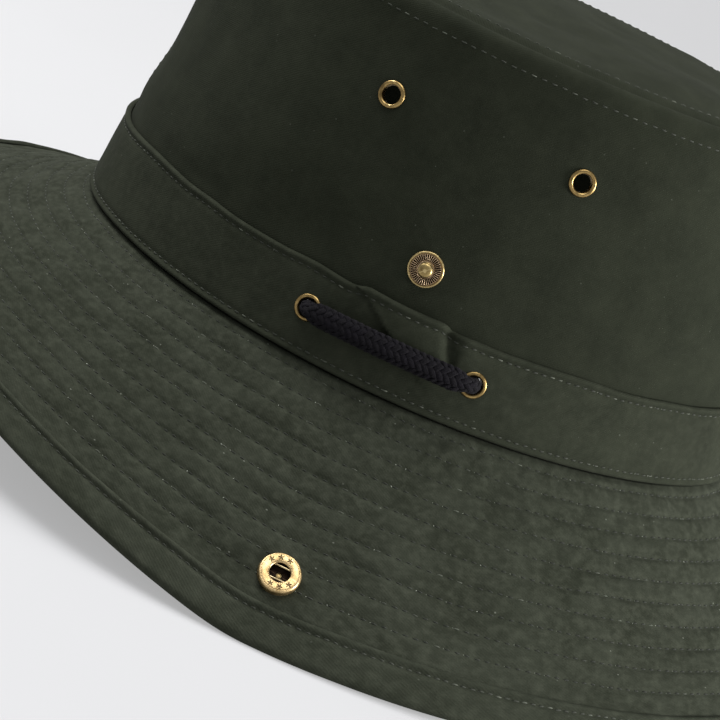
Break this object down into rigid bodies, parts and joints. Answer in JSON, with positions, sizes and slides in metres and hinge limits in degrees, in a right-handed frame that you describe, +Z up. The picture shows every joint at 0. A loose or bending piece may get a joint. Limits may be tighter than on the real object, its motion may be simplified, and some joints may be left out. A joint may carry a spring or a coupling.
{
  "type": "bucket hat",
  "caption": "Cotton bucket hat with a wide stitched brim, side press studs that hold the brim up, vent eyelets and a braided chin cord with a cord lock.",
  "frame": {"origin": "on the table the hat rests on, under the middle of the crown", "axes": "+X to the wearer's right, +Y to the front, +Z up"},
  "size_m": [0.2912, 0.3242, 0.1495],
  "materials": {
    "crown_cotton": "brushed cotton drill, dark olive",
    "brim_cotton": "brushed cotton drill, olive",
    "binding_cotton": "brushed cotton binding, olive",
    "sweatband_cloth": "soft cotton twill",
    "tape": "cotton seam tape",
    "stiffener": "stiff woven interlining",
    "label_cloth": "plain woven label, blank",
    "eyelet_brass": "aged brass",
    "washer_brass": "aged brass",
    "stud_bronze": "dark bronze with bright high spots",
    "socket_brass": "polished brass",
    "spring_steel": "spring wire",
    "cord_braid": "braided polyester cord, black",
    "lock_plastic": "fine matt moulding",
    "plunger_plastic": "fine matt moulding"
  },
  "bodies": {
    "hat": {"crown_top": "crown_cotton", "crown_side_left": "crown_cotton", "crown_side_right": "crown_cotton", "crown_seam_tape": "tape", "hat_band": "brim_cotton", "sweatband": "sweatband_cloth", "size_label": "label_cloth", "brim_top_cloth": "brim_cotton", "brim_stiffener": "stiffener", "brim_under_cloth": "brim_cotton", "brim_binding": "binding_cotton", "vent_eyelets": "eyelet_brass", "vent_washers": "washer_brass", "cord_eyelets": "eyelet_brass", "cord_washers": "washer_brass", "snap_studs": "stud_bronze", "stud_posts": "washer_brass", "chin_cord": "cord_braid"},
    "brim_flap_right": {"flap_right_top_cloth": "brim_cotton", "flap_right_stiffener": "stiffener", "flap_right_under_cloth": "brim_cotton", "flap_right_binding": "binding_cotton", "snap_socket_right": "socket_brass", "snap_spring_right": "spring_steel", "snap_cap_right": "socket_brass"},
    "brim_flap_left": {"flap_left_top_cloth": "brim_cotton", "flap_left_stiffener": "stiffener", "flap_left_under_cloth": "brim_cotton", "flap_left_binding": "binding_cotton", "snap_socket_left": "socket_brass", "snap_spring_left": "spring_steel", "snap_cap_left": "socket_brass"},
    "cord_lock": {"lock_body": "lock_plastic", "lock_spring": "spring_steel"},
    "lock_button": {"lock_plunger": "plunger_plastic"}
  },
  "joints": [
    {"name": "brim_fold_right", "type": "hinge", "parent": "hat", "child": "brim_flap_right", "pos_m": [0.09644, 0, 0.04258], "axis": [0, -1, 0], "range_deg": [0, 143.25], "deforming": ["snap_spring_right"]},
    {"name": "brim_fold_left", "type": "hinge", "parent": "hat", "child": "brim_flap_left", "pos_m": [-0.09644, 0, 0.04258], "axis": [0, 1, 0], "range_deg": [0, 143.25], "deforming": ["snap_spring_left"]},
    {"name": "cord_lock_slide", "type": "slide", "parent": "hat", "child": "cord_lock", "axis": [0, -1, 0], "range_m": [0, 0.055]},
    {"name": "lock_button_press", "type": "slide", "parent": "cord_lock", "child": "lock_button", "axis": [-1, 0, 0], "range_m": [0, 0.0035], "deforming": ["lock_spring"]}
  ]
}
